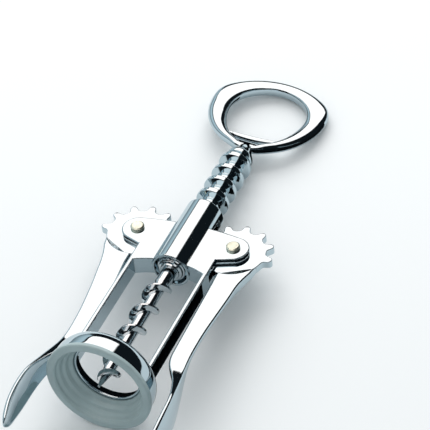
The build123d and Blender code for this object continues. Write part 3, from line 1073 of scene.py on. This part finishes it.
def studio_world(studio):
    """Softbox overhead, dark cards to the right, behind and in front, pale wall to the left."""
    w = bpy.data.worlds.new("studio")
    bpy.context.scene.world = w
    w.use_nodes = True
    w.cycles.sampling_method = "NONE"
    tree = w.node_tree
    coords = tree.nodes.new("ShaderNodeTexCoord")
    split = tree.nodes.new("ShaderNodeSeparateXYZ")
    tree.links.new(coords.outputs["Generated"], split.inputs[0])
    x, y, z = split.outputs
    flat = tree.nodes.new("ShaderNodeVectorMath")
    flat.operation = "MULTIPLY"
    tree.links.new(coords.outputs["Generated"], flat.inputs[0])
    flat.inputs[1].default_value = (1.0, 1.0, 0.0)
    level = tree.nodes.new("ShaderNodeVectorMath")
    level.operation = "NORMALIZE"
    tree.links.new(flat.outputs[0], level.inputs[0])
    level = level.outputs[0]
    height = calculate(tree, "MULTIPLY", calculate(tree, "ARCSINE", z), 180 / math.pi)
    horizon = Vector(studio.horizon)
    pale = horizon * WALL_TOP + Vector((1.0, 1.0, 1.0)) * WALL_WHITE
    wall = blend(tree, ramp(tree, height, *WALL_RISE, smooth=True), horizon * WALL_FOOT, pale)
    for card in FAR_CARDS:
        wall = blend(tree, sky_patch(tree, level, height, *card), wall, DARK)
    above = calculate(tree, "MAXIMUM", z, NEAR_HORIZON)
    x_above = calculate(tree, "DIVIDE", x, above)
    y_above = calculate(tree, "DIVIDE", y, above)
    wall = blend(tree, overhead(tree, x_above, y_above, RIM_X, RIM_Y, RIM_SOFT), wall, DARK)
    box = overhead(tree, x_above, y_above, SOFTBOX_X, SOFTBOX_Y, SOFTBOX_SOFT)
    wall = blend(tree, box, wall, SOFTBOX)
    path = tree.nodes.new("ShaderNodeLightPath")
    room = blend(tree, path.outputs["Is Diffuse Ray"], wall, studio.ambient[:])
    seen = blend(tree, path.outputs["Is Camera Ray"], room, (1.0, 1.0, 1.0))
    wire(tree, seen, tree.nodes["Background"].inputs["Color"])


def table_top(studio):
    """Pale board that the corkscrew lies on; it touches the bell flange and the head."""
    slope = math.tan(studio.floor_tilt)
    mesh = bpy.data.meshes.new("floor")
    corners = [(-1, -1), (1, -1), (1, 1), (-1, 1)]
    places = [(x * FLOOR_HALF, y * FLOOR_HALF) for x, y in corners]
    mesh.from_pydata([(x, y, FLOOR_HEIGHT + slope * y) for x, y in places], [], [(0, 1, 2, 3)])
    obj = new_object("floor", mesh)
    material, tree, shader = new_material("floor_pale")
    path = tree.nodes.new("ShaderNodeLightPath")
    seen = calculate(tree, "MAXIMUM", path.outputs["Is Camera Ray"], path.outputs["Is Glossy Ray"])
    seen = calculate(tree, "MAXIMUM", seen, path.outputs["Is Transmission Ray"])
    wire(tree, blend(tree, seen, studio.floor_bounce[:], studio.floor_tint[:]), shader.inputs["Base Color"])
    shader.inputs["Roughness"].default_value = 0.9
    shader.inputs["Specular IOR Level"].default_value = 0.0
    mesh.materials.append(material)


def card_skin(bm, posts):
    """Faces of card between posts of two points each, in millimetres."""
    posts = [[bm.verts.new((x * MM, y * MM, z * MM)) for x, y, z in post] for post in posts]
    for (a, b), (c, d) in zip(posts, posts[1:]):
        bm.faces.new((a, b, d, c))


def card_strip(bm, line, low, high):
    """Upright strip of card along a line of (x, y)."""
    card_skin(bm, [[(x, y, low), (x, y, high)] for x, y in line])


def card_arc(bm, y, inner, outer, start, end):
    """Part of a flat ring of card across the axis, with its angles in degrees from +X."""
    steps = 24
    posts = []
    for k in range(steps + 1):
        a = math.radians(start + (end - start) * k / steps)
        posts.append([(r * math.cos(a), y, r * math.sin(a)) for r in (inner, outer)])
    card_skin(bm, posts)


def beside(line, distance):
    """The same line moved sideways, to the left of its run for a positive distance."""
    moved = []
    for a, b in zip(line, line[1:]):
        run = math.dist(a, b)
        moved.append((a[0] - (b[1] - a[1]) / run * distance, a[1] + (b[0] - a[0]) / run * distance))
    return moved


# black of the cards that paint reflected shade into the metal
PAINTED_SHADE_BLACK = (0.01, 0.012, 0.014, 1.0)
# points on a line of the head, and those that the cards follow
LINE_POINTS = 60
LOWER_RIGHT = slice(26, 59)
INNER_LEFT = slice(18, 50)


def painted_shade_cards():
    """Black cards that paint shade into the reflections of the polished metal, the only thing that sees them:
    the dark edges of the plate stand for the shade in the gaps between the parts and on the floor under them.
    """
    bm = bmesh.new()
    # outside the right leg, and right of the barrel's upper end
    card_strip(bm, [(16.3, 9.0), (16.3, 57.0)], -14.0, 2.0)
    card_strip(bm, [(10.6, 84.0), (10.2, 99.0)], -12.0, 1.5)
    # past the throat of the bell, under the axis
    card_arc(bm, 13.0, 6.0, 13.0, 185.0, 355.0)
    # along the ring's lower right, outside, and its left, inside the opening
    outer, opening = head_lines(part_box("opener_head")[1].y / MM)
    card_strip(bm, beside(evenly(outer, LINE_POINTS)[LOWER_RIGHT], 2.0), -7.0, 0.7)
    inner_left = [(-x, y) for x, y in evenly(opening, LINE_POINTS)[INNER_LEFT]]
    card_strip(bm, beside(inner_left, 1.6), -6.0, 0.4)
    # just past the dome of the neck
    dome_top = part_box("opener_head")[0].y / MM + NECK_PROFILE[-1][1]
    card_strip(bm, [(-3.0, dome_top + 0.6), (3.0, dome_top + 0.6)], 0.4, 2.8)
    mesh = bpy.data.meshes.new("painted_shade_cards")
    bm.to_mesh(mesh)
    bm.free()
    obj = new_object("painted_shade_cards", mesh)
    material, _, shader = new_material("painted_shade_card")
    shader.inputs["Base Color"].default_value = PAINTED_SHADE_BLACK
    shader.inputs["Roughness"].default_value = 1.0
    shader.inputs["Specular IOR Level"].default_value = 0.0
    mesh.materials.append(material)
    # unseen by the camera, by light and by shadow: they only paint shade into the metal's reflections
    obj.visible_camera = False
    obj.visible_diffuse = False
    obj.visible_shadow = False


def soft_key(studio):
    """Large lamp, up and behind the head."""
    data = bpy.data.lights.new("key", "AREA")
    data.shape = "RECTANGLE"
    data.size, data.size_y = LAMP_SIZE
    data.energy = studio.key_power
    obj = new_object("key", data)
    obj.location = LAMP_AIM + LAMP_DIRECTION * LAMP_DISTANCE
    obj.rotation_mode = "QUATERNION"
    obj.rotation_quaternion = LAMP_DIRECTION.to_track_quat("Z", "Y")
    obj.visible_glossy = False


def viewing_camera(studio):
    """Camera over the bell end, to the right of the axis."""
    data = bpy.data.cameras.new("camera")
    data.lens = studio.lens
    data.sensor_width = 36
    data.clip_start = 0.01
    data.clip_end = 20
    obj = new_object("camera", data)
    placing = Matrix((CAMERA_RIGHT, CAMERA_UP, CAMERA_BACK)).transposed().to_4x4()
    placing.translation = CAMERA_PLACE
    obj.matrix_world = placing
    bpy.context.scene.camera = obj


class CORKSCREW_OT_stage(bpy.types.Operator):
    """Set up the table top, the room, the lamp and the camera"""

    bl_idname = "corkscrew.stage"
    bl_label = "Stage"

    def execute(self, context):
        studio = context.scene.corkscrew.studio
        studio_world(studio)
        table_top(studio)
        # cards that paint shade into the reflections of the metal
        painted_shade_cards()
        soft_key(studio)
        viewing_camera(studio)
        context.scene.view_settings.view_transform = "Standard"
        return {"FINISHED"}


# ----------------------------------------------------------------------
# Panel and registration
# ----------------------------------------------------------------------
OPERATORS = (
    CORKSCREW_OT_stage,
    CORKSCREW_OT_frame_casting,
    CORKSCREW_OT_bell_liner,
    CORKSCREW_OT_rack_sleeve,
    CORKSCREW_OT_opener_head,
    CORKSCREW_OT_worm,
    CORKSCREW_OT_levers,
    CORKSCREW_OT_pins,
)


class CORKSCREW_PT_sidebar(bpy.types.Panel):
    """Settings and building steps of the corkscrew"""

    bl_idname = "CORKSCREW_PT_sidebar"
    bl_label = "Lever corkscrew"
    bl_space_type = "VIEW_3D"
    bl_region_type = "UI"
    bl_category = "Corkscrew"

    def draw(self, context):
        settings = context.scene.corkscrew
        for title in ("chrome", "steel", "liner", "pin", "lever", "head", "studio"):
            group = getattr(settings, title)
            box = self.layout.box()
            box.label(text=title.capitalize())
            for key in group.__annotations__:
                box.prop(group, key)
        for operator in OPERATORS:
            self.layout.operator(operator.bl_idname)


CLASSES = (
    ChromeFinish,
    SteelFinish,
    LinerFinish,
    PinFinish,
    LeverShape,
    HeadShape,
    StudioSettings,
    CorkscrewSettings,
    *OPERATORS,
    CORKSCREW_PT_sidebar,
)


def register():
    for cls in CLASSES:
        bpy.utils.register_class(cls)
    bpy.types.Scene.corkscrew = PointerProperty(type=CorkscrewSettings)


def unregister():
    del bpy.types.Scene.corkscrew
    for cls in reversed(CLASSES):
        bpy.utils.unregister_class(cls)


def main():
    register()
    bpy.ops.corkscrew.stage()
    bpy.ops.corkscrew.frame_casting()
    bpy.ops.corkscrew.bell_liner()
    bpy.ops.corkscrew.rack_sleeve()
    bpy.ops.corkscrew.opener_head()
    bpy.ops.corkscrew.worm()
    bpy.ops.corkscrew.levers()
    bpy.ops.corkscrew.pins()


if __name__ == "__main__":
    main()
